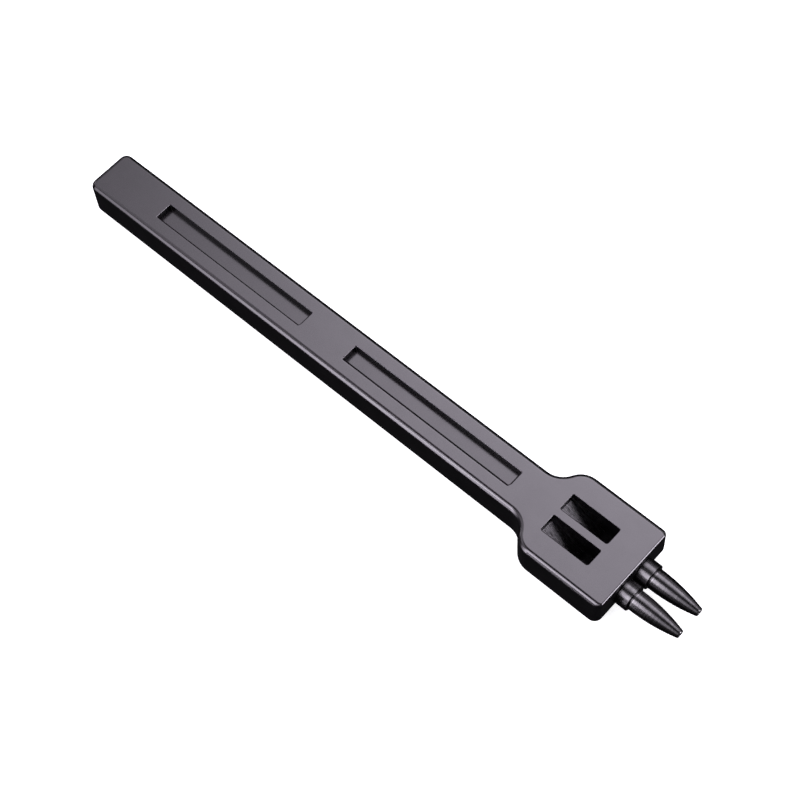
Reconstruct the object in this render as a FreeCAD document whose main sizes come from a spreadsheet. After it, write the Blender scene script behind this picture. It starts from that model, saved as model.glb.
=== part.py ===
import FreeCAD, Part
import Sketcher
import math, os

# Two-prong round-hole row punch for leather.
# Frame: +X along the tool from the struck end towards the punch tubes, +Z up out of the recessed face,
# origin at the middle of the flat back, half way along the overall length.
V = FreeCAD.Vector
doc = FreeCAD.newDocument("row_punch")

# ---------------------------------------------------------------- driving dimensions (mm, degrees)
sheet = doc.addObject("Spreadsheet::Sheet", "dims")
DIMS = [
    ("overall_length", 135.5, "struck end to the tube tips"),
    ("body_length", 123.8, "struck end to the end face of the head"),
    ("bar_width", 9.7, "bar across"),
    ("head_width", 18.1, "head across"),
    ("thickness", 7.7, "bar and head, back to recessed face"),
    ("shoulder_start", 101.5, "struck end to the start of the shoulder curve"),
    ("shoulder_end", 108.6, "struck end to the end of the shoulder curve"),
    ("butt_corner", 1.6, "corner radius in plan at the struck end"),
    ("long_edge", 1.0, "edge radius along both sides and round the struck end"),
    ("nose_edge", 2.4, "radius under the end face"),
    ("pocket_width", 3.5, "long recesses across"),
    ("pocket_depth", 1.4, "long recesses, depth"),
    ("pocket_a_start", 14.95, "struck end to the first recess"),
    ("pocket_a_end", 50.5, "struck end to the end of the first recess"),
    ("pocket_b_start", 60.9, "struck end to the second recess"),
    ("pocket_b_end", 98.55, "struck end to the end of the second recess"),
    ("pocket_corner", 0.2, "corner radius of the recesses"),
    ("pitch", 5.0, "tube to tube"),
    ("window_width", 3.5, "waste window across"),
    ("window_start", 107.62, "struck end to the window"),
    ("window_end", 117.57, "struck end to the tube side of the window"),
    ("window_corner", 0.35, "corner radius of the window"),
    ("window_lip", 1.35, "upright wall above the ramp"),
    ("window_depth", 5.62, "face to the floor of the window"),
    ("ramp_angle", 32.0, "ramp from the face's plane"),
    ("axis_height", 3.82, "back to the tube axis"),
    ("bore_radius", 1.66, "press bore in the head"),
    ("shank_radius", 1.65, "tube shank"),
    ("shank_length", 6.1, "shank inside the head"),
    ("shank_lead", 0.3, "lead chamfer of the shank"),
    ("collar_radius", 2.4, "stop collar"),
    ("collar_length", 2.3, "stop collar along the axis"),
    ("collar_edge", 0.12, "broken edges of the collar"),
    ("groove_radius", 1.75, "relief groove floor"),
    ("groove_width", 0.25, "relief groove along the axis"),
    ("nose_radius", 1.93, "nose at its root"),
    ("nose_straight", 0.3, "straight part of the nose"),
    ("nose_chamfer", 0.2, "chamfer at the root of the nose"),
    ("nose_arc", 34.5, "radius of the nose's long curve"),
    ("cut_radius", 0.5, "hole that the tube cuts, radius"),
    ("cut_land", 2.0, "parallel part of the cutting bore"),
    ("throat_radius", 1.2, "waste bore through the shank, radius"),
    ("throat_length", 6.0, "taper from the cutting bore to the waste bore"),
]
D = {}
for row, (name, value, note) in enumerate(DIMS, 1):
    sheet.set("A%d" % row, name)
    sheet.set("B%d" % row, repr(value))
    sheet.set("C%d" % row, note)
    sheet.setAlias("B%d" % row, name)
    D[name] = value
doc.recompute()


def plane(body, role):
    return [f for f in body.Origin.OriginFeatures if f.Role == role][0]


def sketch(body, name, role, offset=None):
    sk = body.newObject("Sketcher::SketchObject", name)
    sk.AttachmentSupport = [(plane(body, role), "")]
    sk.MapMode = "FlatFace"
    if offset is not None:
        sk.AttachmentOffset = FreeCAD.Placement(offset, FreeCAD.Rotation())
    return sk


def bind(sk, index, name, expression):
    sk.renameConstraint(index, name)
    sk.setExpression("Constraints." + name, expression)


def finish_sketch(sk):
    doc.recompute()
    if sk.solve() != 0:
        raise RuntimeError(sk.Name + " does not solve")


def edges_where(feature, test):
    return ["Edge%d" % (i + 1) for i, e in enumerate(feature.Shape.Edges) if test(e)]


def must_cut(feature, before, name):
    doc.recompute()
    if not feature.Shape.Volume < before - 1e-3:
        raise RuntimeError(name + " removed nothing")


L2 = D["overall_length"] / 2.0


def X(station):
    """station measured from the struck end -> x in the part's frame"""
    return station - L2


# ================================================================ punch_holder
holder = doc.addObject("PartDesign::Body", "punch_holder")
holder.Label = "punch_holder"

# ---- plan outline: bar, S-curve shoulders, head
sk = sketch(holder, "plan_outline", "XY_Plane")
bw, hw = D["bar_width"] / 2, D["head_width"] / 2
xs, xe = X(D["shoulder_start"]), X(D["shoulder_end"])
rise, run = hw - bw, xe - xs
# two equal tangent arcs make the shoulder; a straight line through the ends passes through their meeting point
sr = (run * run + rise * rise) / (4.0 * rise)
x0, x1 = X(0.0), X(D["body_length"])
turn = 2 * math.atan2(rise, run)
mid = V((xs + xe) / 2, (bw + hw) / 2, 0)


def arc(cx, cy, r, a0, a1):
    return Part.ArcOfCircle(Part.Circle(V(cx, cy, 0), V(0, 0, 1), r), a0, a1)


g = []
add = lambda geo: g.append(sk.addGeometry(geo, False)) or g[-1]
near_bar = add(Part.LineSegment(V(x0, -bw, 0), V(xs, -bw, 0)))
near_in = add(arc(xs, -bw - sr, sr, math.pi / 2 - turn, math.pi / 2))
near_out = add(arc(xe, -hw + sr, sr, -math.pi / 2 - turn, -math.pi / 2))
near_head = add(Part.LineSegment(V(xe, -hw, 0), V(x1, -hw, 0)))
nose = add(Part.LineSegment(V(x1, -hw, 0), V(x1, hw, 0)))
far_head = add(Part.LineSegment(V(x1, hw, 0), V(xe, hw, 0)))
far_out = add(arc(xe, hw - sr, sr, math.pi / 2, math.pi / 2 + turn))
far_in = add(arc(xs, bw + sr, sr, -math.pi / 2, -math.pi / 2 + turn))
far_bar = add(Part.LineSegment(V(xs, bw, 0), V(x0, bw, 0)))
butt = add(Part.LineSegment(V(x0, bw, 0), V(x0, -bw, 0)))
C = Sketcher.Constraint
for c in (
    C("Tangent", near_bar, 2, near_in, 2), C("Tangent", near_in, 1, near_out, 1), C("Tangent", near_out, 2, near_head, 1),
    C("Coincident", near_head, 2, nose, 1), C("Coincident", nose, 2, far_head, 1),
    C("Tangent", far_head, 2, far_out, 1), C("Tangent", far_out, 2, far_in, 2), C("Tangent", far_in, 1, far_bar, 1),
    C("Coincident", far_bar, 2, butt, 1), C("Coincident", butt, 2, near_bar, 1),
    C("Horizontal", near_bar), C("Horizontal", near_head),
    C("Symmetric", near_bar, 1, far_bar, 2, -1), C("Symmetric", near_head, 2, far_head, 1, -1),
    C("Symmetric", near_bar, 2, far_bar, 1, -1), C("Symmetric", near_out, 2, far_out, 1, -1),
    C("Equal", near_in, near_out), C("Equal", near_in, far_in),
):
    sk.addConstraint(c)
bind(sk, sk.addConstraint(C("DistanceY", near_bar, 1, far_bar, 2, 2 * bw)), "bar_across", "dims.bar_width")
bind(sk, sk.addConstraint(C("DistanceY", near_head, 2, far_head, 1, 2 * hw)), "head_across", "dims.head_width")
bind(sk, sk.addConstraint(C("DistanceX", near_bar, 1, -1, 1, -x0)), "butt_x", "dims.overall_length / 2")
bind(sk, sk.addConstraint(C("DistanceX", near_bar, 1, near_bar, 2, xs - x0)), "bar_run", "dims.shoulder_start")
bind(sk, sk.addConstraint(C("DistanceX", near_bar, 1, near_out, 2, xe - x0)), "head_run", "dims.shoulder_end")
bind(sk, sk.addConstraint(C("DistanceX", near_bar, 1, near_head, 2, x1 - x0)), "nose_run", "dims.body_length")
finish_sketch(sk)

pad = holder.newObject("PartDesign::Pad", "blank")
pad.Profile = sk
pad.setExpression("Length", "dims.thickness")
doc.recompute()

# ---- upright corners of the outline
upright = lambda e: e.BoundBox.ZLength > 1 and e.BoundBox.XLength < 1e-6 and e.BoundBox.YLength < 1e-6
fil = holder.newObject("PartDesign::Fillet", "butt_corners")
fil.Base = (pad, edges_where(pad, lambda e: upright(e) and abs(e.CenterOfMass.x - x0) < 1e-3))
fil.setExpression("Radius", "dims.butt_corner")
doc.recompute()

# ---- underside of the end face, then the long edges of both faces; the end face keeps a crisp upper edge
T = D["thickness"]
low_nose = lambda e: abs(e.BoundBox.XMin - x1) < 1e-3 and e.BoundBox.ZLength < 1e-6 and abs(e.BoundBox.ZMin) < 1e-3
fil2 = holder.newObject("PartDesign::Fillet", "nose_under")
fil2.Base = (fil, edges_where(fil, low_nose))
fil2.setExpression("Radius", "dims.nose_edge")
doc.recompute()
flat = lambda e, z: e.BoundBox.ZLength < 1e-6 and abs(e.CenterOfMass.z - z) < 1e-6
fil3 = holder.newObject("PartDesign::Fillet", "long_edges")
fil3.Base = (fil2, edges_where(fil2, lambda e: (flat(e, 0) or flat(e, T)) and e.BoundBox.XMin < x1 - D["nose_edge"] - 1e-3))
fil3.setExpression("Radius", "dims.long_edge")
doc.recompute()

# ---- long recesses in the upper face
prev = fil3
for tag in ("a", "b"):
    sk = sketch(holder, "recess_%s_outline" % tag, "XY_Plane", V(0, 0, T))
    sk.setExpression("AttachmentOffset.Base.z", "dims.thickness")
    a0, a1 = X(D["pocket_%s_start" % tag]), X(D["pocket_%s_end" % tag])
    w = D["pocket_width"] / 2
    P = [V(a0, -w, 0), V(a1, -w, 0), V(a1, w, 0), V(a0, w, 0)]
    i = [sk.addGeometry(Part.LineSegment(P[k], P[(k + 1) % 4]), False) for k in range(4)]
    for k in range(4):
        sk.addConstraint(C("Coincident", i[k], 2, i[(k + 1) % 4], 1))
    sk.addConstraint([C("Horizontal", i[0]), C("Horizontal", i[2]), C("Vertical", i[1]),
                      C("Symmetric", i[0], 1, i[3], 1, -1)])
    bind(sk, sk.addConstraint(C("DistanceY", i[0], 1, i[3], 1, 2 * w)), "across", "dims.pocket_width")
    bind(sk, sk.addConstraint(C("DistanceX", i[0], 1, i[0], 2, a1 - a0)), "along",
         "dims.pocket_%s_end - dims.pocket_%s_start" % (tag, tag))
    if a0 < 0:
        bind(sk, sk.addConstraint(C("DistanceX", i[0], 1, -1, 1, -a0)), "start",
             "dims.overall_length / 2 - dims.pocket_%s_start" % tag)
    else:
        bind(sk, sk.addConstraint(C("DistanceX", -1, 1, i[0], 1, a0)), "start",
             "dims.pocket_%s_start - dims.overall_length / 2" % tag)
    finish_sketch(sk)
    before = prev.Shape.Volume
    pk = holder.newObject("PartDesign::Pocket", "recess_%s" % tag)
    pk.Profile = sk
    pk.setExpression("Length", "dims.pocket_depth")
    must_cut(pk, before, pk.Name)
    prev = pk

# ---- waste windows: drawn from the side, so that the ramp is part of the profile
for tag, s in (("left", 1), ("right", -1)):
    sk = sketch(holder, "window_%s_profile" % tag, "XZ_Plane", V(0, 0, -s * D["pitch"] / 2))
    sk.setExpression("AttachmentOffset.Base.z", "%s dims.pitch / 2" % ("-" if s > 0 else ""))
    w0, w1 = X(D["window_start"]), X(D["window_end"])
    lip, dep = D["window_lip"], D["window_depth"]
    wr = w0 + (dep - lip) / math.tan(math.radians(D["ramp_angle"]))
    top = T + 1.0
    P = [V(w0, top, 0), V(w0, T - lip, 0), V(wr, T - dep, 0), V(w1, T - dep, 0), V(w1, top, 0)]
    i = [sk.addGeometry(Part.LineSegment(P[k], P[(k + 1) % 5]), False) for k in range(5)]
    for k in range(5):
        sk.addConstraint(C("Coincident", i[k], 2, i[(k + 1) % 5], 1))
    sk.addConstraint([C("Vertical", i[0]), C("Horizontal", i[2]), C("Vertical", i[3]), C("Horizontal", i[4])])
    bind(sk, sk.addConstraint(C("DistanceX", -1, 1, i[0], 1, w0)), "start", "dims.window_start - dims.overall_length / 2")
    bind(sk, sk.addConstraint(C("DistanceX", i[0], 1, i[3], 2, w1 - w0)), "along", "dims.window_end - dims.window_start")
    bind(sk, sk.addConstraint(C("DistanceY", -1, 1, i[0], 1, top)), "above", "dims.thickness + 1")
    bind(sk, sk.addConstraint(C("DistanceY", -1, 1, i[0], 2, T - lip)), "lip", "dims.thickness - dims.window_lip")
    bind(sk, sk.addConstraint(C("DistanceY", -1, 1, i[2], 1, T - dep)), "floor", "dims.thickness - dims.window_depth")
    bind(sk, sk.addConstraint(C("DistanceX", i[0], 2, i[1], 2, wr - w0)), "ramp_run",
         "(dims.window_depth - dims.window_lip) / tan(dims.ramp_angle * 1 deg)")
    finish_sketch(sk)
    before = prev.Shape.Volume
    pk = holder.newObject("PartDesign::Pocket", "window_%s" % tag)
    pk.Profile = sk
    pk.Midplane = True
    pk.setExpression("Length", "dims.window_width")
    must_cut(pk, before, pk.Name)
    prev = pk

# ---- corners of the windows and recesses
def upright_at(shape, xmin, xmax, ymax):
    names = []
    for n, e in enumerate(shape.Edges):
        b = e.BoundBox
        if b.ZLength > 0.5 and b.XLength < 1e-6 and b.YLength < 1e-6 and xmin < b.XMin < xmax and abs(b.YMin) < ymax:
            names.append("Edge%d" % (n + 1))
    return names


names = upright_at(prev.Shape, X(D["window_start"]) - 0.01, X(D["window_end"]) + 0.01, hw - 1)
if len(names) != 8:
    raise RuntimeError("expected 8 window corners, found %d" % len(names))
fil = holder.newObject("PartDesign::Fillet", "window_corners")
fil.Base = (prev, names)
fil.setExpression("Radius", "dims.window_corner")
before = prev.Shape.Volume
doc.recompute()
prev = fil
names = upright_at(prev.Shape, X(D["pocket_a_start"]) - 0.01, X(D["pocket_b_end"]) + 0.01, bw - 1)
if len(names) != 8:
    raise RuntimeError("expected 8 recess corners, found %d" % len(names))
fil = holder.newObject("PartDesign::Fillet", "recess_corners")
fil.Base = (prev, names)
fil.setExpression("Radius", "dims.pocket_corner")
doc.recompute()
prev = fil

# ---- press bores from the end face into the windows
for tag, s in (("left", 1), ("right", -1)):
    sk = sketch(holder, "bore_%s_circle" % tag, "YZ_Plane", V(0, 0, x1))
    sk.setExpression("AttachmentOffset.Base.z", "dims.body_length - dims.overall_length / 2")
    c = sk.addGeometry(Part.Circle(V(s * D["pitch"] / 2, D["axis_height"], 0), V(0, 0, 1), D["bore_radius"]), False)
    bind(sk, sk.addConstraint(C("Radius", c, D["bore_radius"])), "bore", "dims.bore_radius")
    bind(sk, sk.addConstraint(C("DistanceY", -1, 1, c, 3, D["axis_height"])), "height", "dims.axis_height")
    if s > 0:
        bind(sk, sk.addConstraint(C("DistanceX", -1, 1, c, 3, D["pitch"] / 2)), "side", "dims.pitch / 2")
    else:
        bind(sk, sk.addConstraint(C("DistanceX", c, 3, -1, 1, D["pitch"] / 2)), "side", "dims.pitch / 2")
    finish_sketch(sk)
    before = prev.Shape.Volume
    pk = holder.newObject("PartDesign::Pocket", "bore_%s" % tag)
    pk.Profile = sk
    pk.setExpression("Length", "dims.body_length - dims.window_end + 0.5")
    must_cut(pk, before, pk.Name)
    prev = pk
holder.Tip = prev


# ================================================================ punch tubes
def punch_tube(name, side):
    """hollow turned tube: profile in the XZ plane, turned about its own axis; the body is placed on the pitch"""
    body = doc.addObject("PartDesign::Body", name)
    body.Label = name
    sk = sketch(body, name + "_profile", "XZ_Plane")
    # local x = 0 at the seat of the collar on the head
    rs, rc, rg, rn = D["shank_radius"], D["collar_radius"], D["groove_radius"], D["nose_radius"]
    ls, ll = D["shank_length"], D["shank_lead"]
    lc, ce, gw = D["collar_length"], D["collar_edge"], D["groove_width"]
    lt = D["overall_length"] - D["body_length"]
    xg = lc + gw
    nc, R = D["nose_chamfer"], D["nose_arc"]
    xa = xg + D["nose_straight"]
    rt = rn - (R - math.sqrt(R * R - (lt - xa) ** 2))
    rb, rth = D["cut_radius"], D["throat_radius"]
    xb = lt - D["cut_land"]
    xt = xb - D["throat_length"]
    P = [(-ls, rth), (-ls, rs - ll), (-ls + ll, rs), (0, rs), (0, rc - ce), (ce, rc), (lc - ce, rc), (lc, rc - ce),
         (lc, rg), (xg, rg), (xg, rn - nc), (xg + nc, rn), (xa, rn), (lt, rt), (lt, rb), (xb, rb), (xt, rth)]
    n = len(P)
    arc_at = 12
    ids = []
    for k in range(n):
        a, b = P[k], P[(k + 1) % n]
        if k == arc_at:
            cz = rn - R
            a0 = math.atan2(b[1] - cz, b[0] - xa)
            ids.append(sk.addGeometry(Part.ArcOfCircle(Part.Circle(V(xa, cz, 0), V(0, 0, 1), R), a0, math.pi / 2), False))
        else:
            ids.append(sk.addGeometry(Part.LineSegment(V(a[0], a[1], 0), V(b[0], b[1], 0)), False))

    def end(k):
        return 1 if k == arc_at else 2

    def start(k):
        return 2 if k == arc_at else 1

    for k in range(n):
        j = (k + 1) % n
        kind = "Tangent" if k == arc_at - 1 else "Coincident"
        sk.addConstraint(C(kind, ids[k], end(k), ids[j], start(j)))
    for k in (0, 3, 7, 9, 13):
        sk.addConstraint(C("Vertical", ids[k]))
    for k in (2, 5, 8, 11, 14, 16):
        sk.addConstraint(C("Horizontal", ids[k]))
    # stations along the axis, from the seat
    def sx(k, label, expr, value):
        if value >= 0:
            bind(sk, sk.addConstraint(C("DistanceX", -1, 1, ids[k], start(k), value)), label, expr)
        else:
            bind(sk, sk.addConstraint(C("DistanceX", ids[k], start(k), -1, 1, -value)), label, expr)

    def sz(k, label, expr, value):
        bind(sk, sk.addConstraint(C("DistanceY", -1, 1, ids[k], start(k), value)), label, expr)

    sx(0, "shank_end", "dims.shank_length", -ls)
    sx(2, "lead_end", "dims.shank_length - dims.shank_lead", -ls + ll)
    sk.addConstraint(C("PointOnObject", ids[3], start(3), -2))
    sx(5, "edge_a", "dims.collar_edge", ce)
    sx(6, "edge_b", "dims.collar_length - dims.collar_edge", lc - ce)
    sx(7, "collar_end", "dims.collar_length", lc)
    sx(9, "groove_end", "dims.collar_length + dims.groove_width", xg)
    sx(11, "chamfer_end", "dims.collar_length + dims.groove_width + dims.nose_chamfer", xg + nc)
    sx(12, "straight_end", "dims.collar_length + dims.groove_width + dims.nose_straight", xa)
    sx(13, "tip", "dims.overall_length - dims.body_length", lt)
    sx(15, "land_end", "dims.overall_length - dims.body_length - dims.cut_land", xb)
    sx(16, "throat_end", "dims.overall_length - dims.body_length - dims.cut_land - dims.throat_length", xt)
    sz(1, "lead", "dims.shank_radius - dims.shank_lead", rs - ll)
    sz(2, "shank", "dims.shank_radius", rs)
    sz(4, "collar_inner_edge", "dims.collar_radius - dims.collar_edge", rc - ce)
    sz(5, "collar", "dims.collar_radius", rc)
    sz(7, "collar_outer_edge", "dims.collar_radius - dims.collar_edge", rc - ce)
    sz(8, "groove", "dims.groove_radius", rg)
    sz(10, "root", "dims.nose_radius - dims.nose_chamfer", rn - nc)
    sz(11, "nose", "dims.nose_radius", rn)
    sz(14, "cut", "dims.cut_radius", rb)
    sz(0, "throat", "dims.throat_radius", rth)
    bind(sk, sk.addConstraint(C("Radius", ids[arc_at], R)), "long_curve", "dims.nose_arc")
    finish_sketch(sk)
    rev = body.newObject("PartDesign::Revolution", name + "_turned")
    rev.Profile = sk
    rev.ReferenceAxis = (plane_axis(body, "X_Axis"), [""])
    rev.Angle = 360.0
    doc.recompute()
    body.Tip = rev
    body.Placement = FreeCAD.Placement(V(x1, side * D["pitch"] / 2, D["axis_height"]), FreeCAD.Rotation())
    body.setExpression("Placement.Base.x", "dims.body_length - dims.overall_length / 2")
    body.setExpression("Placement.Base.y", "%sdims.pitch / 2" % ("" if side > 0 else "-"))
    body.setExpression("Placement.Base.z", "dims.axis_height")
    print(name, "tip radius", round(rt, 3))
    return body


def plane_axis(body, role):
    return [f for f in body.Origin.OriginFeatures if f.Role == role][0]


left = punch_tube("punch_tube_left", 1)
right = punch_tube("punch_tube_right", -1)
doc.recompute()

# ================================================================ checks and export
bad = [o.Name for o in doc.Objects if "Invalid" in o.State or "Error" in o.State]
if bad:
    raise RuntimeError("failed objects: " + ", ".join(bad))
parts = [holder, left, right]
for p in parts:
    if p.Shape.isNull() or not p.Shape.isValid() or len(p.Shape.Solids) != 1:
        raise RuntimeError(p.Label + " is not one valid solid")
    p.Shape.check(True)
for i, a in enumerate(parts):
    for b in parts[i + 1:]:
        v = a.Shape.common(b.Shape).Volume
        print("overlap", a.Label, b.Label, round(v, 6))
os.makedirs("parts", exist_ok=True)
for p in parts:
    b = p.Shape.optimalBoundingBox()
    print("%-18s volume %9.3f  x %.3f..%.3f y %.3f..%.3f z %.3f..%.3f" % (
        p.Label, p.Shape.Volume, b.XMin, b.XMax, b.YMin, b.YMax, b.ZMin, b.ZMax))
    p.Shape.exportStep("parts/%s.step" % p.Label)
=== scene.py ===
import math

import bmesh
import bpy
import numpy as np
from mathutils import Matrix, Vector, geometry, noise


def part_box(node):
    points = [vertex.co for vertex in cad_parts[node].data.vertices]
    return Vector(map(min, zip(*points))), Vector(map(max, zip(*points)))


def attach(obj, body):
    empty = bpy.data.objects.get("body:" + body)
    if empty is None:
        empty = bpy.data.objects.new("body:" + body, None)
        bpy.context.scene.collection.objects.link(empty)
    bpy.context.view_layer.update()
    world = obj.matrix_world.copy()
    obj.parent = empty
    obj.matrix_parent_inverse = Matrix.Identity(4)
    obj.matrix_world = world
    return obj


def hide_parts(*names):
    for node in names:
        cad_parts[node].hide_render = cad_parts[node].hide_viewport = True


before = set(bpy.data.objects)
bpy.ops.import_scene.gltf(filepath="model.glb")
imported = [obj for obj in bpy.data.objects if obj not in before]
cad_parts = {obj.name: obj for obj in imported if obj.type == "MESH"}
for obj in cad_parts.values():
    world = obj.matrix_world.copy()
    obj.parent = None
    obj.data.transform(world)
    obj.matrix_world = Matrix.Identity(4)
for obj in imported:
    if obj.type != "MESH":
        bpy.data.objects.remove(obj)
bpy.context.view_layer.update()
scene = bpy.context.scene
MM = 0.001

# ------------------------------------------------------------------ sizes, in millimetres, in the part's frame
hlo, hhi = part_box("punch_holder")
X0, X1 = round(hlo.x / MM, 4), round(hhi.x / MM, 4)      # struck end, end face of the head
T = round(hhi.z / MM, 4)                                 # recessed face
HW = round(hhi.y / MM, 4)                                # half of the head
BW = 9.7 / 2                                             # half of the bar
XS, XE = X0 + 101.5, X0 + 108.6                          # shoulder
R_BUTT, R_EDGE, R_UNDER, R_CORNER = 1.6, 1.0, 2.4, 1.12
NOSE_BREAK = 0.4
AXIS_Z, PITCH = 3.82, 5.0
WIN = (X0 + 107.62, X0 + 117.57, 3.5, 0.35)              # window: start, end, across, corner
WIN_LIP, WIN_DEPTH, RAMP = 1.35, 5.62, math.tan(math.radians(32.0))
BORE = 1.66


# ------------------------------------------------------------------ mesh helpers
def smoothstep(a, b, x):
    t = np.clip((x - a) / (b - a), 0.0, 1.0)
    return t * t * (3 - 2 * t)


def outline(d_side, d_nose, setback):
    """Plan outline, counter-clockwise, moved inwards by d_side (d_nose at the end face, which also lies setback nearer)."""
    rise, run = HW - BW, XE - XS
    sr = (run * run + rise * rise) / (4.0 * rise)
    turn = 2 * math.atan2(rise, run)
    xn = X1 - setback
    half = []                                            # near side, struck end to end face: point, normal, nose share
    n = 70
    for i in range(n):
        t = i / n
        half.append(((X0 + R_BUTT + (XS - X0 - R_BUTT) * t, -BW), (0.0, -1.0), 0))
    n = 26
    for i in range(n):
        a = math.pi / 2 - turn * i / n
        half.append(((XS + sr * math.cos(a), -BW - sr + sr * math.sin(a)), (-math.cos(a), -math.sin(a)), 0))
    for i in range(n):
        a = -math.pi / 2 - turn + turn * i / n
        half.append(((XE + sr * math.cos(a), -HW + sr + sr * math.sin(a)), (math.cos(a), math.sin(a)), 0))
    n = 14
    for i in range(n):
        t = i / n
        half.append(((XE + (xn - R_CORNER - XE) * t, -HW), (0.0, -1.0), 0))
    n = 10
    for i in range(n):
        a = -math.pi / 2 + math.pi / 2 * i / n
        half.append(((xn - R_CORNER + R_CORNER * math.cos(a), -HW + R_CORNER + R_CORNER * math.sin(a)),
                     (math.cos(a), math.sin(a)), 1))
    n = 18
    nose = []
    for i in range(n + 1):
        nose.append(((xn, (-HW + R_CORNER) * (1 - 2 * i / n)), (1.0, 0.0), 1))
    far = [((p[0], -p[1]), (m[0], -m[1]), k) for p, m, k in reversed(half)]
    butt = []
    n = 14
    for i in range(1, n + 1):
        a = math.pi / 2 + math.pi / 2 * i / n
        butt.append(((X0 + R_BUTT + R_BUTT * math.cos(a), BW - R_BUTT + R_BUTT * math.sin(a)),
                     (math.cos(a), math.sin(a)), 0))
    n = 10
    for i in range(1, n):
        butt.append(((X0, (BW - R_BUTT) * (1 - 2 * i / n)), (-1.0, 0.0), 0))
    n = 14
    for i in range(n):
        a = math.pi + math.pi / 2 * i / n
        butt.append(((X0 + R_BUTT + R_BUTT * math.cos(a), -BW + R_BUTT + R_BUTT * math.sin(a)),
                     (math.cos(a), math.sin(a)), 0))
    out = []
    for p, m, k in half + nose + far + butt:
        dx = d_nose if k else d_side
        out.append((p[0] - m[0] * dx, p[1] - m[1] * d_side))
    return out


class Well:
    """A recess or window sunk from the upper face: rim rounding, upright walls, rounded foot and a floor of z(x, y)."""

    def __init__(self, xa, xb, yc, width, rc, rim, foot, step_x, rows, zfloor):
        self.xa, self.xb, self.yc, self.w, self.rc = xa, xb, yc, width, rc
        self.rim, self.foot, self.zfloor = rim, foot, zfloor
        h = width / 2
        ends = [rc * (1 - math.cos(math.pi / 2 * i / 6)) for i in range(7)]
        extra = [v for v in (foot * 0.45, foot * 0.7, foot, foot * 1.5) if v > rc + 0.02]
        a = ends + extra
        n = max(2, int(round((xb - xa - 2 * a[-1]) / step_x)))
        mid = [a[-1] + (xb - xa - 2 * a[-1]) * i / n for i in range(1, n)]
        self.cols = [xa + v for v in a] + [xa + v for v in mid] + [xb - v for v in reversed(a)]
        near = [0.0, 0.04, 0.12, 0.26, 0.46, 0.72, 1.0, 1.5]
        edge = [foot * v for v in near]
        inner = h - edge[-1]
        k = max(2, rows)
        line = [-(h - e) for e in edge] + [-inner + 2 * inner * i / k for i in range(1, k)] + [h - e for e in reversed(edge)]
        self.q = [v / h for v in line]

    def half_width(self, x):
        h, rc = self.w / 2, self.rc
        s = min(x - self.xa, self.xb - x)
        if s >= rc:
            return h
        c = 1 - s / rc
        return h - rc + rc * math.sqrt(max(0.0, 1 - c * c))

    def inside(self, x, y):
        """distance to the wall"""
        cx, cy = (self.xa + self.xb) / 2, self.yc
        px = abs(x - cx) - ((self.xb - self.xa) / 2 - self.rc)
        py = abs(y - cy) - (self.w / 2 - self.rc)
        return -(min(max(px, py), 0.0) + math.hypot(max(px, 0.0), max(py, 0.0)) - self.rc)

    def ring_index(self):
        J, M = len(self.cols) - 1, len(self.q) - 1
        ring = [(j, 0) for j in range(J + 1)]
        ring += [(J, m) for m in range(1, M + 1)]
        ring += [(j, M) for j in range(J - 1, -1, -1)]
        ring += [(0, m) for m in range(M - 1, 0, -1)]
        return ring

    def ring_point(self, j, m):
        x = self.cols[j]
        return x, self.yc + self.half_width(x) * self.q[m]

    def ring_normal(self, x, y):
        """outwards from the opening"""
        cx, cy = (self.xa + self.xb) / 2, self.yc
        lx, ly = (self.xb - self.xa) / 2 - self.rc, self.w / 2 - self.rc
        vx, vy = max(abs(x - cx) - lx, 0.0), max(abs(y - cy) - ly, 0.0)
        l = math.hypot(vx, vy)
        if l < 1e-9:
            return (0.0, 0.0)
        return (math.copysign(vx / l, x - cx) if vx > 0 else 0.0, math.copysign(vy / l, y - cy) if vy > 0 else 0.0)

    def build(self, bm, z_top):
        """adds the well and returns its rim's vertices, for the upper face to join"""
        ring = self.ring_index()
        pts = [self.ring_point(j, m) for j, m in ring]
        nor = [self.ring_normal(*p) for p in pts]
        loops = []
        worn = [min(1.0, max(0.73 * q[0], -q[1], 0.0)) for q in nor]   # rounder towards -Y, and half as much towards +X
        rims = [self.rim[0] + (self.rim[1] - self.rim[0]) * k * k for k in worn]
        steps = 6
        for s in range(steps + 1):
            a = math.pi / 2 * s / steps
            ring_s = []
            for p, q, r in zip(pts, nor, rims):
                e, z = r * (1 - math.sin(a)), z_top - r * (1 - math.cos(a))
                ring_s.append(bm.verts.new((p[0] + q[0] * e, p[1] + q[1] * e, z)))
            loops.append(ring_s)
        J, M = len(self.cols) - 1, len(self.q) - 1
        grid = {}
        for j in range(J + 1):
            for m in range(M + 1):
                x, y = self.ring_point(j, m)
                d = max(0.0, self.inside(x, y))
                f = self.foot
                lift = f - math.sqrt(max(0.0, f * f - (f - d) ** 2)) if d < f else 0.0
                grid[j, m] = bm.verts.new((x, y, self.zfloor(x, y, d) + lift))
        loops.append([grid[j, m] for j, m in ring])
        n = len(ring)
        for a, b in zip(loops, loops[1:]):
            for i in range(n):
                k = (i + 1) % n
                bm.faces.new((a[i], a[k], b[k], b[i]))
        for j in range(J):
            for m in range(M):
                bm.faces.new((grid[j, m], grid[j + 1, m], grid[j + 1, m + 1], grid[j, m + 1]))
        return loops[0]


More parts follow.
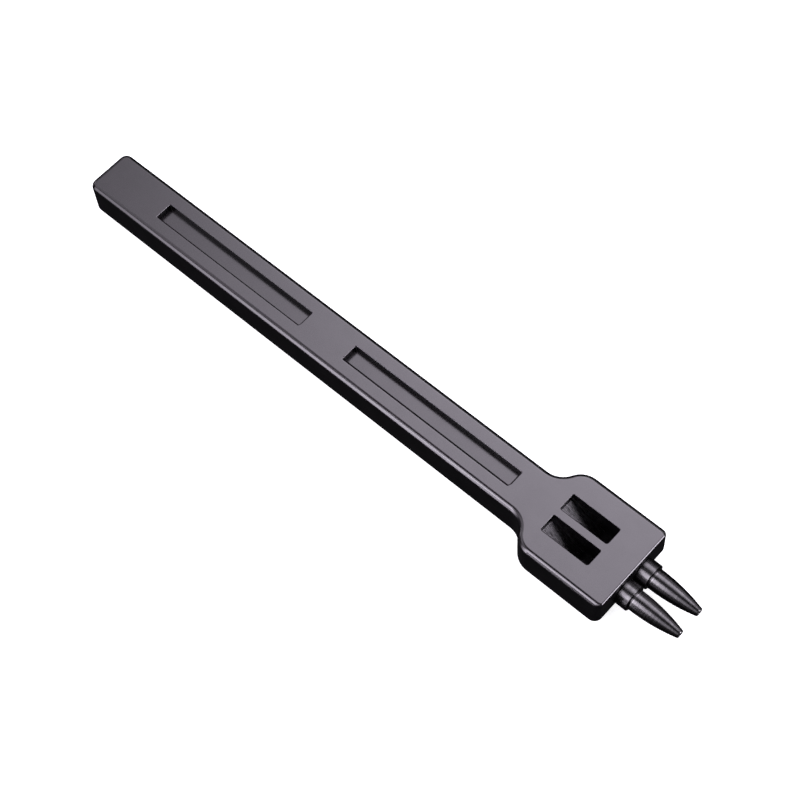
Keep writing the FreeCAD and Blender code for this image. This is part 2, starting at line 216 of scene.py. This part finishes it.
def fill_plane(bm, outer, holes, z, up, spacing):
    """Fills a flat face between an outer loop of vertices and holes, with evenly placed inner points."""
    coords, vert_of, edges = [], [], []
    for loop in [outer] + holes:
        base = len(coords)
        for v in loop:
            coords.append(Vector((v.co.x, v.co.y)))
            vert_of.append(v)
        edges += [(base + i, base + (i + 1) % len(loop)) for i in range(len(loop))]

    def poly(loop):
        return np.array([(v.co.x, v.co.y) for v in loop])

    def inside(pg, p):
        x, y = pg[:, 0], pg[:, 1]
        x2, y2 = np.roll(x, -1), np.roll(y, -1)
        c = (y > p[1]) != (y2 > p[1])
        xi = x + (p[1] - y) / np.where(y2 == y, 1e-12, y2 - y) * (x2 - x)
        return bool(np.count_nonzero(c & (p[0] < xi)) % 2)

    def near(pg, p):
        a, b = pg, np.roll(pg, -1, axis=0)
        d = b - a
        t = np.clip(((p - a) * d).sum(1) / np.maximum((d * d).sum(1), 1e-12), 0, 1)
        return float(np.min(np.hypot(*(a + d * t[:, None] - p).T)))

    po, ph = poly(outer), [poly(h) for h in holes]
    lo, hi = po.min(0), po.max(0)
    nx, ny = int((hi[0] - lo[0]) / spacing), int((hi[1] - lo[1]) / spacing)
    for iy in range(ny + 1):
        for ix in range(nx + 1):
            p = np.array([lo[0] + spacing * (ix + (0.5 if iy % 2 else 0.0)), lo[1] + spacing * (iy + 0.5)])
            if not inside(po, p) or near(po, p) < 0.45 * spacing:
                continue
            if any(inside(h, p) or near(h, p) < 0.45 * spacing for h in ph):
                continue
            coords.append(Vector(p))
            vert_of.append(None)
    vs, es, fs, ov, oe, of_ = geometry.delaunay_2d_cdt(coords, edges, [], 0, 1e-7)
    made = []
    for i, v in enumerate(vs):
        src = [k for k in ov[i] if vert_of[k] is not None]
        made.append(vert_of[src[0]] if src else bm.verts.new((v.x, v.y, z)))
    for f in fs:
        c = np.mean([[vs[k].x, vs[k].y] for k in f], axis=0)
        if not inside(po, c) or any(inside(h, c) for h in ph):
            continue
        a, b, d = (vs[k] for k in f[:3])
        area = (b.x - a.x) * (d.y - a.y) - (d.x - a.x) * (b.y - a.y)
        order = list(f) if (area > 0) == up else list(reversed(f))
        bm.faces.new([made[k] for k in order])


def set_soft_normals(mesh, sharp_deg):
    """Exact corner normals: a flat, axis-aligned face keeps its own normal up to its border, and curved strips are averaged
    by area, within fans that stop at sharp edges."""
    bm = bmesh.new()
    bm.from_mesh(mesh)
    bm.normal_update()
    limit = math.radians(sharp_deg)
    for e in bm.edges:
        e.smooth = len(e.link_faces) == 2 and e.calc_face_angle(0.0) < limit
    for f in bm.faces:
        f.smooth = True
    flat = [max(abs(c) for c in f.normal) > 0.9999995 for f in bm.faces]
    area = [f.calc_area() for f in bm.faces]
    bm.faces.ensure_lookup_table()
    bm.faces.index_update()
    result = {}
    for v in bm.verts:
        faces = list(v.link_faces)
        seen = {}
        for f in faces:
            if f.index in seen:
                continue
            fan, stack = [], [f]
            seen[f.index] = True
            while stack:
                g = stack.pop()
                fan.append(g)
                for e in g.edges:
                    if v in e.verts and e.smooth:
                        for h in e.link_faces:
                            if h.index not in seen:
                                seen[h.index] = True
                                stack.append(h)
            strong = [g for g in fan if flat[g.index]]
            use = strong or fan
            n = Vector((0, 0, 0))
            for g in use:
                n += g.normal * area[g.index]
            n = n.normalized() if n.length > 0 else f.normal.copy()
            for g in fan:
                result[g.index, v.index] = n
    bm.to_mesh(mesh)
    bm.free()
    normals = [None] * len(mesh.loops)
    for p in mesh.polygons:
        for li in p.loop_indices:
            n = result[p.index, mesh.loops[li].vertex_index]
            normals[li] = (n.x, n.y, n.z)
    mesh.normals_split_custom_set(normals)
    mesh.update()


def to_metres(mesh):
    mesh.transform(Matrix.Scale(MM, 4))
    mesh.update()


def link(name, mesh):
    o = bpy.data.objects.new(name, mesh)
    scene.collection.objects.link(o)
    return o


# ------------------------------------------------------------------ the holder
def ramp_floor(x, y, d):
    """Floor of a window: rough sloping ramp, then flat. Lengthwise tool streaks and a slightly uneven ground surface."""
    h = (T - WIN_LIP - (T - WIN_DEPTH)) - (x - WIN[0]) * RAMP
    z = T - WIN_DEPTH + 0.5 * (h + math.sqrt(h * h + 0.09))
    z = min(z, T - WIN_LIP - (x - WIN[0]) * RAMP + 0.02) if h > 1.0 else z
    on = float(smoothstep(-0.3, 0.9, h)) * float(smoothstep(0.02, 0.35, d))
    s = noise.noise(Vector((x * 0.55, y * 4.2, 3.1))) * 0.016 + noise.noise(Vector((x * 1.6, y * 9.0, 9.7))) * 0.004
    g = noise.noise(Vector((x * 1.3, y * 1.5, 21.0))) * 0.040
    return z + (s + g) * on + 0.006 * (1 - on) * noise.noise(Vector((x * 2.4, y * 2.4, 5.0)))


def recess_floor(x, y, d):
    return T - 1.4


def make_holder():
    bm = bmesh.new()
    levels = []
    n = 9
    for i in range(n + 1):                               # lower edge
        a = math.pi / 2 * i / n
        levels.append((R_EDGE * (1 - math.cos(a)), R_EDGE * (1 - math.sin(a)), 0.0))
    for z in (1.2, 1.45, 1.75, 2.05, 2.4, 3.6, 4.8, 5.9):
        levels.append((z, 0.0, 0.0))
    for i in range(n + 1):                               # upper edge
        a = math.pi / 2 * i / n
        levels.append((T - R_EDGE * (1 - math.sin(a)), R_EDGE * (1 - math.cos(a)), 0.0))
    # a finer step where the end face's upper edge is just broken
    cut = T - NOSE_BREAK
    fine = []
    for z, d, _ in levels:
        if z < cut - 0.012:
            fine.append((z, d, 0.0))
    for i in range(10):
        a = math.pi / 2 * i / 9
        z = cut + NOSE_BREAK * math.sin(a)
        c = 1 - (T - z) / R_EDGE
        d = R_EDGE * (1 - math.sqrt(max(0.0, 1 - c * c)))
        fine.append((z, d, NOSE_BREAK * (1 - math.cos(a))))
    loops = []
    for z, d, dn in fine:
        s = R_UNDER - math.sqrt(max(0.0, R_UNDER ** 2 - (R_UNDER - z) ** 2)) if z < R_UNDER else 0.0
        loops.append([bm.verts.new((x, y, z)) for x, y in outline(d, dn, s)])
    k = len(loops[0])
    for a, b in zip(loops, loops[1:]):
        for i in range(k):
            j = (i + 1) % k
            bm.faces.new((a[i], a[j], b[j], b[i]))
    fill_plane(bm, loops[0], [], 0.0, False, 1.6)
    wells = [
        Well(X0 + 14.95, X0 + 50.38, 0.125, 3.25, 0.2, (0.10, 0.48), 0.015, 0.9, 7, recess_floor),
        Well(X0 + 60.9, X0 + 98.38, 0.225, 3.05, 0.2, (0.10, 0.70), 0.015, 0.9, 7, recess_floor),
        Well(WIN[0], WIN[1], PITCH / 2, WIN[2], WIN[3], (0.08, 0.20), 0.10, 0.13, 30, ramp_floor),
        Well(WIN[0], WIN[1], -PITCH / 2, WIN[2], WIN[3], (0.08, 0.20), 0.10, 0.13, 30, lambda x, y, d: ramp_floor(x, y + 40.0, d)),
    ]
    rims = [w.build(bm, T) for w in wells]
    fill_plane(bm, loops[-1], rims, T, True, 1.3)
    bmesh.ops.recalc_face_normals(bm, faces=bm.faces)
    mesh = bpy.data.meshes.new("holder_blank")
    bm.to_mesh(mesh)
    bm.free()
    holder = link("holder_blank", mesh)
    # press bores, from the end face into the windows
    tools = []
    for s in (1, -1):
        cb = bmesh.new()
        bmesh.ops.create_cone(cb, cap_ends=True, segments=96, radius1=BORE, radius2=BORE, depth=X1 + 1.0 - (WIN[1] - 0.6),
                              matrix=Matrix.Translation(((X1 + 1.0 + WIN[1] - 0.6) / 2, s * PITCH / 2, AXIS_Z))
                              @ Matrix.Rotation(math.pi / 2, 4, "Y"))
        cm = bpy.data.meshes.new("bore_tool")
        cb.to_mesh(cm)
        cb.free()
        tool = link("bore_tool", cm)
        tools.append(tool)
        m = holder.modifiers.new("bore", "BOOLEAN")
        m.operation, m.solver, m.object = "DIFFERENCE", "EXACT", tool
    dg = bpy.context.evaluated_depsgraph_get()
    done = bpy.data.meshes.new_from_object(holder.evaluated_get(dg))
    done.name = "black_holder"
    for t in tools + [holder]:
        bpy.data.objects.remove(t)
    set_soft_normals(done, 26.0)
    # where handling would rub the coating: the rounded edges
    co = np.array([v.co for v in done.vertices], float)
    edge = done.attributes.new("edge_rub", "FLOAT", "POINT")
    nz = np.zeros(len(co))
    nrm = np.array([v.normal for v in done.vertices], float)
    slant = 1.0 - np.abs(nrm).max(1)
    nz = np.clip(slant / 0.29, 0, 1)
    ramp = (co[:, 0] > WIN[0] - 0.01) & (co[:, 0] < WIN[1] + 0.01) & (np.abs(np.abs(co[:, 1]) - PITCH / 2) < WIN[2] / 2 + 0.01) & (co[:, 2] < T - 0.2)
    nz[ramp] = 0.0
    edge.data.foreach_set("value", nz.astype(np.float32))
    rough = done.attributes.new("bare_ramp", "FLOAT", "POINT")
    depth = np.where(ramp, smoothstep(0.0, 0.5, T - co[:, 2] - WIN_LIP + 0.35) * smoothstep(-0.2, 0.8, co[:, 2] - (T - WIN_DEPTH)), 0.0)
    rough.data.foreach_set("value", depth.astype(np.float32))
    # painted shade: the walls of the recesses and windows, the windows' ramps and floors, and a little of the long
    # recesses' floors get a mask that darkens the coating and turns its reflection down
    wells = [(X0 + 14.95, X0 + 50.38, 0.125, 1.625), (X0 + 60.9, X0 + 98.38, 0.225, 1.525),
             (WIN[0], WIN[1], PITCH / 2, WIN[2] / 2), (WIN[0], WIN[1], -PITCH / 2, WIN[2] / 2)]
    recess_painted_shade = np.zeros(len(co))
    for n, (xa, xb, yc, hw) in enumerate(wells):
        within = (co[:, 0] > xa - 0.02) & (co[:, 0] < xb + 0.02) & (np.abs(co[:, 1] - yc) < hw + 0.02) & (co[:, 2] < T - 0.12)
        if n < 2:                                        # the long recesses: painted shade on the walls, and a little on the floor
            wall = np.minimum(np.minimum(co[:, 0] - xa, xb - co[:, 0]), hw - np.abs(co[:, 1] - yc)) < 0.035
            recess_painted_shade[within & ~wall] = 0.12
            within = within & wall & (co[:, 2] > T - 1.399)
        recess_painted_shade[within] = 1.0
    recess_shade_attr = done.attributes.new("recess_painted_shade", "FLOAT", "POINT")
    recess_shade_attr.data.foreach_set("value", recess_painted_shade.astype(np.float32))
    to_metres(done)
    return link("black_holder", done)


# ------------------------------------------------------------------ the tubes
def tube_profile():
    """closed profile of a tube, (station from the seat, radius), outside first"""
    L = round(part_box("punch_tube_left")[1].x / MM, 4) - X1
    CL, CR, GR, NR, SL = 2.3, 2.4, 1.75, 1.93, 6.1       # collar length and radius, groove, nose, shank length
    xg = CL + 0.25
    R = 34.5
    xa = xg + 0.3

    def arc_r(x):
        return NR - (R - math.sqrt(R * R - (x - xa) ** 2))

    P = []

    def corner(cx, cr, a0, a1, r, n=5):
        for i in range(n + 1):
            a = math.radians(a0 + (a1 - a0) * i / n)
            P.append((cx + r * math.cos(a), cr + r * math.sin(a)))

    P.append((-SL, 1.2))
    P.append((-SL, 1.36))
    P.append((-SL + 0.27, 1.62))
    corner(-SL + 0.38, 1.60, 150, 90, 0.05, 3)
    for i in range(1, 12):
        P.append((-SL + 0.38 + (SL - 0.44) * i / 12, 1.65))
    P.append((-0.02, 1.65))
    P.append((0.0, 1.67))
    # collar
    P.append((0.0, 2.0))
    corner(0.13, CR - 0.13, 180, 90, 0.13, 7)
    n = 34
    for i in range(1, n):
        x = 0.13 + (CL - 0.21) * i / n
        P.append((x, CR - 0.0022 * (1 - math.cos(2 * math.pi * (x - 0.13) / 0.26)) * min(1.0, (x - 0.13) * 5, (CL - 0.08 - x) * 5)))
    corner(CL - 0.08, CR - 0.08, 90, 0, 0.08, 6)
    P.append((CL, CR - 0.3))
    # relief groove with a rounded foot
    corner(CL + 0.05, GR + 0.05, 180, 270, 0.05, 4)
    P.append((CL + 0.10, GR))
    P.append((xg - 0.09, GR))
    corner(xg - 0.04, GR + 0.04, 270, 360, 0.04, 4)
    # shoulder at the root of the nose
    corner(xg + 0.09, NR - 0.09, 180, 90, 0.09, 6)
    n = 172
    x_a, x_b = xg + 0.16, L - 0.10
    for i in range(1, n + 1):
        x = x_a + (x_b - x_a) * i / n
        base = arc_r(x) if x > xa else NR
        u = x - x_a
        ripple = 0.0016 * (1 - math.cos(2 * math.pi * u / 0.23)) + 0.0010 * (1 - math.cos(2 * math.pi * u / 0.61 + 0.8))
        fade = min(1.0, u * 3, (x_b - x) * 1.5 + 0.15)
        P.append((x, base - ripple * fade))
    # cutting edge: outer lip, narrow honed land, small inner chamfer
    re = arc_r(L)
    P.append((L - 0.055, re + 0.002))
    P.append((L - 0.022, re - 0.012))
    P.append((L - 0.005, re - 0.034))
    P.append((L, re - 0.060))
    P.append((L, 0.5 + 0.055))
    P.append((L - 0.012, 0.5 + 0.030))
    P.append((L - 0.045, 0.5 + 0.006))
    P.append((L - 0.08, 0.5))
    # bore: parallel land, taper, waste bore
    for x, r in ((L - 0.5, 0.5), (L - 1.1, 0.5), (L - 1.6, 0.5), (L - 2.0, 0.5), (L - 3.5, 0.675), (L - 5.0, 0.85),
                 (L - 6.5, 1.025), (L - 8.0, 1.2), (1.5, 1.2), (-1.0, 1.2), (-3.5, 1.2)):
        P.append((x, r))
    return P, L


def make_tube(name, node, side):
    P, L = tube_profile()
    seg = 144
    bm = bmesh.new()
    rings = []
    yc = side * PITCH / 2
    for x, r in P:
        rings.append([bm.verts.new((X1 + x, yc + r * math.sin(2 * math.pi * k / seg), AXIS_Z + r * math.cos(2 * math.pi * k / seg)))
                      for k in range(seg)])
    n = len(P)
    for i in range(n):
        a, b = rings[i], rings[(i + 1) % n]
        for k in range(seg):
            j = (k + 1) % seg
            bm.faces.new((a[k], a[j], b[j], b[k]))
    bmesh.ops.recalc_face_normals(bm, faces=bm.faces)
    mesh = bpy.data.meshes.new(name)
    bm.to_mesh(mesh)
    bm.free()
    set_soft_normals(mesh, 38.0)
    co = np.array([v.co for v in mesh.vertices], float)
    r = np.hypot(co[:, 1] - yc, co[:, 2] - AXIS_Z)
    x = co[:, 0] - X1
    lip = mesh.attributes.new("honed_lip", "FLOAT", "POINT")
    lip.data.foreach_set("value", np.where(x > L - 0.035, 1.0, 0.0).astype(np.float32))
    # painted shade: the inside of the bore is marked to be darkened
    inner = mesh.attributes.new("painted_bore_shade", "FLOAT", "POINT")
    inside = ((r < 0.52) & (x < L - 0.05)) | ((r < 1.205) & (x < L - 2.0) & (r < 0.5 + 0.117 * np.maximum(0.0, L - 2.0 - x) + 0.02)) & (x > -6.05)
    inner.data.foreach_set("value", inside.astype(np.float32))
    # painted highlight: a lighter ring on the groove and the shoulder at the root of the nose
    ring = mesh.attributes.new("painted_shoulder_highlight", "FLOAT", "POINT")
    ring.data.foreach_set("value", ((x > 2.5) & (x < 2.86) & (r > 1.6)).astype(np.float32))
    to_metres(mesh)
    o = link(name, mesh)
    o.data.materials.append(steel)
    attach(o, "root")
    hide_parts(node)
    return o


# ------------------------------------------------------------------ materials
class Nodes:
    def __init__(self, name):
        self.mat = bpy.data.materials.new(name)
        self.mat.use_nodes = True
        self.t = self.mat.node_tree
        self.t.nodes.clear()
        self.out = self.add("ShaderNodeOutputMaterial")

    def add(self, kind, **kw):
        n = self.t.nodes.new(kind)
        for k, v in kw.items():
            setattr(n, k, v)
        return n

    def put(self, socket, value):
        if isinstance(value, bpy.types.NodeSocket):
            self.t.links.new(value, socket)
        elif value is not None:
            socket.default_value = value

    def coord(self, scale=(1, 1, 1)):
        c = self.add("ShaderNodeTexCoord")
        m = self.add("ShaderNodeMapping")
        self.put(m.inputs["Vector"], c.outputs["Object"])
        m.inputs["Scale"].default_value = scale
        return m.outputs[0]

    def noise(self, vector, scale, detail=4.0, rough=0.55, distortion=0.0):
        n = self.add("ShaderNodeTexNoise")
        self.put(n.inputs["Vector"], vector)
        n.inputs["Scale"].default_value = scale
        n.inputs["Detail"].default_value = detail
        n.inputs["Roughness"].default_value = rough
        n.inputs["Distortion"].default_value = distortion
        return n.outputs["Fac"]

    def ramp(self, fac, a, b, lo=0.0, hi=1.0):
        n = self.add("ShaderNodeMapRange", interpolation_type="SMOOTHSTEP")
        self.put(n.inputs["Value"], fac)
        for key, v in (("From Min", a), ("From Max", b), ("To Min", lo), ("To Max", hi)):
            n.inputs[key].default_value = v
        return n.outputs["Result"]

    def math(self, op, a, b=None, c=None):
        n = self.add("ShaderNodeMath", operation=op)
        self.put(n.inputs[0], a)
        if b is not None:
            self.put(n.inputs[1], b)
        if c is not None:
            self.put(n.inputs[2], c)
        return n.outputs[0]

    def mix(self, fac, a, b):
        n = self.add("ShaderNodeMix", data_type="RGBA")
        self.put(n.inputs["Factor"], fac)
        self.put(n.inputs[6], a)
        self.put(n.inputs[7], b)
        return n.outputs[2]

    def mixf(self, fac, a, b):
        n = self.add("ShaderNodeMix", data_type="FLOAT")
        self.put(n.inputs["Factor"], fac)
        self.put(n.inputs[2], a)
        self.put(n.inputs[3], b)
        return n.outputs[0]

    def attr(self, name):
        return self.add("ShaderNodeAttribute", attribute_name=name).outputs["Fac"]

    def bump(self, height, strength, distance, normal=None):
        n = self.add("ShaderNodeBump")
        self.put(n.inputs["Height"], height)
        n.inputs["Strength"].default_value = strength
        n.inputs["Distance"].default_value = distance
        self.put(n.inputs["Normal"], normal)
        return n.outputs[0]


def black_coating():
    m = Nodes("black_coated_steel")
    v = m.coord()
    cloud = m.noise(v, 240.0, 3.0, 0.6)                  # soft mottling, several millimetres
    blotch = m.noise(v, 1300.0, 4.0, 0.6)                # under a millimetre
    grain = m.noise(v, 9500.0, 3.0, 0.65)                # the coating's own grain
    draw = m.noise(m.coord((0.10, 1.0, 1.0)), 2600.0, 3.0, 0.6)   # faint marks along the bar
    rub = m.attr("edge_rub")
    bare = m.attr("bare_ramp")
    # mask of the painted shade in the recesses and windows
    recess_painted_shade = m.attr("recess_painted_shade")
    streak = m.noise(m.coord((0.16, 1.0, 0.16)), 5200.0, 4.0, 0.65, 0.25)
    cast = m.noise(v, 4200.0, 4.0, 0.7)
    base = m.mix(m.ramp(cloud, 0.3, 0.7), (0.0022, 0.0020, 0.0025, 1), (0.0032, 0.0029, 0.0036, 1))
    base = m.mix(m.math("MULTIPLY", m.ramp(blotch, 0.45, 0.75), 0.35), base, (0.0052, 0.0048, 0.0058, 1))
    worn = m.math("MULTIPLY", rub, m.ramp(m.noise(v, 900.0, 4.0, 0.7), 0.52, 0.72))
    base = m.mix(m.math("MULTIPLY", worn, 0.45), base, (0.030, 0.028, 0.031, 1))
    rampc = m.mix(m.ramp(streak, 0.35, 0.70), (0.0012, 0.0011, 0.0013, 1), (0.0120, 0.0112, 0.0126, 1))
    # painted shade: near-black coating in the recesses and windows
    base = m.mix(m.math("MULTIPLY", recess_painted_shade, 0.6), base, (0.0010, 0.0009, 0.0011, 1))
    base = m.mix(m.math("MULTIPLY", bare, 0.85), base, rampc)
    rough = m.math("ADD", 0.20, m.math("MULTIPLY", m.ramp(cloud, 0.3, 0.7), 0.035))
    rough = m.math("ADD", rough, m.math("MULTIPLY", m.ramp(grain, 0.3, 0.7), 0.03))
    rough = m.mixf(m.math("MULTIPLY", worn, 0.5), rough, 0.20)
    rough = m.mixf(bare, rough, m.math("ADD", 0.25, m.math("MULTIPLY", m.ramp(streak, 0.3, 0.7), 0.09)))
    h = m.math("ADD", m.math("MULTIPLY", grain, 0.55), m.math("MULTIPLY", blotch, 0.9))
    h = m.math("ADD", h, m.math("MULTIPLY", draw, 0.35))
    n1 = m.bump(h, 0.30, 0.000006)
    h2 = m.math("MULTIPLY", m.math("ADD", m.math("MULTIPLY", streak, 1.0), m.math("MULTIPLY", cast, 0.35)), bare)
    n2 = m.bump(h2, 0.6, 0.00005, n1)
    p = m.add("ShaderNodeBsdfPrincipled")
    m.put(p.inputs["Base Color"], base)
    m.put(p.inputs["Roughness"], rough)
    m.put(p.inputs["Normal"], n2)
    p.inputs["IOR"].default_value = 1.85
    # painted shade: reflection turned down in the recesses and windows
    level = m.mixf(recess_painted_shade, 0.5, 0.05)
    m.put(p.inputs["Specular IOR Level"], m.mixf(bare, level, m.mixf(m.ramp(streak, 0.3, 0.7), 0.20, 0.42)))
    p.inputs["Metallic"].default_value = 0.0
    m.put(p.inputs["Specular Tint"], (1.0, 0.955, 1.0, 1.0))
    m.put(m.out.inputs["Surface"], p.outputs[0])
    return m.mat


def blackened_steel():
    m = Nodes("blackened_turned_steel")
    v = m.coord()
    turn = m.noise(m.coord((1.0, 0.05, 0.05)), 7800.0, 3.0, 0.7)   # fine turning marks, round the axis
    bandn = m.noise(m.coord((1.0, 0.03, 0.03)), 1900.0, 3.0, 0.6)
    blotch = m.noise(v, 1100.0, 4.0, 0.6)
    lip = m.attr("honed_lip")
    bore_shade_mask = m.attr("painted_bore_shade")
    ring = m.attr("painted_shoulder_highlight")
    base = m.mix(m.ramp(bandn, 0.35, 0.65), (0.093, 0.089, 0.093, 1), (0.120, 0.116, 0.119, 1))
    base = m.mix(m.math("MULTIPLY", m.ramp(blotch, 0.4, 0.7), 0.5), base, (0.080, 0.075, 0.082, 1))
    # painted highlight: lighter metal on the ring at the root of the nose
    base = m.mix(m.math("MULTIPLY", ring, 0.5), base, (0.22, 0.21, 0.22, 1))
    base = m.mix(m.math("MULTIPLY", lip, 0.85), base, (0.62, 0.61, 0.60, 1))
    # painted shade: darker metal inside the bore
    base = m.mix(bore_shade_mask, base, (0.02, 0.019, 0.02, 1))
    rough = m.math("ADD", 0.23, m.math("MULTIPLY", m.ramp(turn, 0.3, 0.7), 0.07))
    rough = m.mixf(bore_shade_mask, rough, 0.55)
    h = m.math("ADD", m.math("MULTIPLY", turn, 0.8), m.math("MULTIPLY", bandn, 0.8))
    n1 = m.bump(h, 0.35, 0.000008)
    p = m.add("ShaderNodeBsdfPrincipled")
    m.put(p.inputs["Base Color"], base)
    m.put(p.inputs["Roughness"], rough)
    m.put(p.inputs["Normal"], n1)
    p.inputs["Metallic"].default_value = 1.0
    m.put(m.out.inputs["Surface"], p.outputs[0])
    return m.mat


coat = black_coating()
steel = blackened_steel()

holder = make_holder()
holder.data.materials.append(coat)
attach(holder, "root")
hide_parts("punch_holder")
tube_left = make_tube("blackened_tube_left", "punch_tube_left", 1)
tube_right = make_tube("blackened_tube_right", "punch_tube_right", -1)
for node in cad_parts.values():                     # the hidden CAD nodes carry the finishes too
    node.data.materials.clear()
    node.data.materials.append(coat if "holder" in node.name else steel)

# ------------------------------------------------------------------ floor
bm = bmesh.new()
bmesh.ops.create_grid(bm, x_segments=24, y_segments=24, size=1.6)
bmesh.ops.translate(bm, verts=bm.verts, vec=(0, 0, -0.00002))
fm = bpy.data.meshes.new("studio_floor")
bm.to_mesh(fm)
bm.free()
floor = link("studio_floor", fm)
m = Nodes("pale_floor")
d = m.add("ShaderNodeBsdfDiffuse")
d.inputs["Color"].default_value = (0.9, 0.9, 0.9, 1)
e = m.add("ShaderNodeEmission")
e.inputs["Color"].default_value = (1, 1, 1, 1)
e.inputs["Strength"].default_value = 0.80
a = m.add("ShaderNodeAddShader")
m.put(a.inputs[0], d.outputs[0])
m.put(a.inputs[1], e.outputs[0])
m.put(m.out.inputs["Surface"], a.outputs[0])
fm.materials.append(m.mat)
floor.visible_glossy = False
floor.visible_diffuse = False
floor.visible_transmission = False
floor.visible_shadow = False

# ------------------------------------------------------------------ camera
cam_data = bpy.data.cameras.new("camera")
cam = bpy.data.objects.new("camera", cam_data)
scene.collection.objects.link(cam)
f_px = 1955.997433277
cam_data.sensor_fit = "HORIZONTAL"
cam_data.sensor_width = 36.0
cam_data.lens = f_px * 36.0 / 800.0
cam_data.clip_start, cam_data.clip_end = 0.01, 10.0
right = Vector((0.741291932, 0.669365623, -0.049355193))
up = Vector((-0.568270249, 0.665059533, 0.484525274))
back = Vector((0.357148703, -0.331127589, 0.873383835))
rot = Matrix((right, up, back)).transposed()
k = 5.0 / 5.365
eye = Vector((207.001349091 * k - 67.75, -119.751279838 * k, 312.152236423 * k + 7.75)) * MM
cam.matrix_world = Matrix.Translation(eye) @ rot.to_4x4()
scene.camera = cam


# ------------------------------------------------------------------ light: soft boxes round the tool
def soft_box(name, centre, along, size_x, size_y, radiance, color=(1, 1, 1), by_x=None, by_tilt=None):
    """A rectangular soft box that faces the origin. along is its long side's direction. Its face can be graded along X,
    by_x = (x0, x1, share at x0), and by its height over the tool, by_tilt = (degrees0, degrees1, share at degrees0)."""
    ld = bpy.data.lights.new(name, "AREA")
    ld.shape = "RECTANGLE"
    ld.size, ld.size_y = size_x, size_y
    ld.energy = radiance * math.pi * size_x * size_y
    ld.color = color
    o = bpy.data.objects.new(name, ld)
    scene.collection.objects.link(o)
    z = Vector(centre).normalized()
    x = Vector(along) - z * z.dot(Vector(along))
    x.normalize()
    y = z.cross(x)
    o.matrix_world = Matrix.Translation(Vector(centre)) @ Matrix((x, y, z)).transposed().to_4x4()
    o.visible_camera = False
    if by_x or by_tilt:
        ld.use_nodes = True
        t = ld.node_tree
        em = next(n for n in t.nodes if n.type == "EMISSION")
        geo = t.nodes.new("ShaderNodeNewGeometry")
        sep = t.nodes.new("ShaderNodeSeparateXYZ")
        t.links.new(geo.outputs["Position"], sep.inputs[0])
        parts = []
        for source, rng in (("X", by_x), ("tilt", by_tilt)):
            if not rng:
                continue
            lo, hi = rng[0], rng[1]
            if source == "X":
                value = sep.outputs["X"]
            else:
                q = t.nodes.new("ShaderNodeMath")
                q.operation = "DIVIDE"
                t.links.new(sep.outputs["Y"], q.inputs[0])
                t.links.new(sep.outputs["Z"], q.inputs[1])
                value = q.outputs[0]
                lo, hi = math.tan(math.radians(lo)), math.tan(math.radians(hi))
            mr = t.nodes.new("ShaderNodeMapRange")
            mr.interpolation_type = "SMOOTHSTEP"
            t.links.new(value, mr.inputs["Value"])
            mr.inputs["From Min"].default_value, mr.inputs["From Max"].default_value = lo, hi
            mr.inputs["To Min"].default_value, mr.inputs["To Max"].default_value = rng[2], 1.0
            parts.append(mr.outputs["Result"])
        if len(parts) == 2:
            mul = t.nodes.new("ShaderNodeMath")
            mul.operation = "MULTIPLY"
            t.links.new(parts[0], mul.inputs[0])
            t.links.new(parts[1], mul.inputs[1])
            parts = [mul.outputs[0]]
        t.links.new(parts[0], em.inputs["Strength"])
    return o


def yz(angle, x=0.0, r=1.0):
    a = math.radians(angle)
    c = math.sqrt(max(0.0, 1 - x * x))
    return (x * r, math.sin(a) * c * r, math.cos(a) * c * r)


TINT = (1.0, 0.965, 1.065)
soft_box("far_box", yz(28, -0.255), (1, 0, 0), 1.27, 0.62, 3.58, TINT, (-0.72, -0.30, 0.15), (8, 34, 0.60))
soft_box("near_box", yz(-44, 0.03), (1, 0, 0), 0.74, 0.62, 5.5, TINT, (0.07, -0.05, 0.24))
soft_box("low_box", yz(-77, -0.48), (1, 0, 0), 0.50, 1.00, 6.0, TINT, (-0.62, -0.30, 0.20))
soft_box("butt_box", yz(-11, -0.60), (1, 0, 0), 0.46, 0.70, 0.95, TINT, (-0.37, -0.50, 0.0))
soft_box("rear_low_box", (0.10, 0.87, 0.48), (1, 0, 0), 0.50, 0.40, 0.7, TINT)
soft_box("butt_low_box", (-0.90, 0.02, 0.42), (0, 1, 0), 0.45, 0.40, 1.3, TINT)
soft_box("head_low_box", (0.93, -0.02, 0.36), (0, 1, 0), 0.40, 0.34, 1.0, TINT)
soft_box("end_box", (0.72, 0.43, 0.60), (0, 1, 0), 0.32, 0.38, 5.2, TINT)
soft_box("end_low_box", (0.90, 0.35, 0.22), (0, 1, 0), 0.45, 0.40, 11.0, TINT)

world = bpy.data.worlds.new("studio")
scene.world = world
world.use_nodes = True
bg = world.node_tree.nodes.get("Background") or world.node_tree.nodes.new("ShaderNodeBackground")
out = world.node_tree.nodes.get("World Output") or world.node_tree.nodes.new("ShaderNodeOutputWorld")
world.node_tree.links.new(bg.outputs[0], out.inputs[0])
bg.inputs["Color"].default_value = (1, 1, 1, 1)
bg.inputs["Strength"].default_value = 0.011

scene.view_settings.view_transform = "Standard"
scene.view_settings.look = "None"
scene.view_settings.exposure = 0.0
scene.view_settings.gamma = 1.0
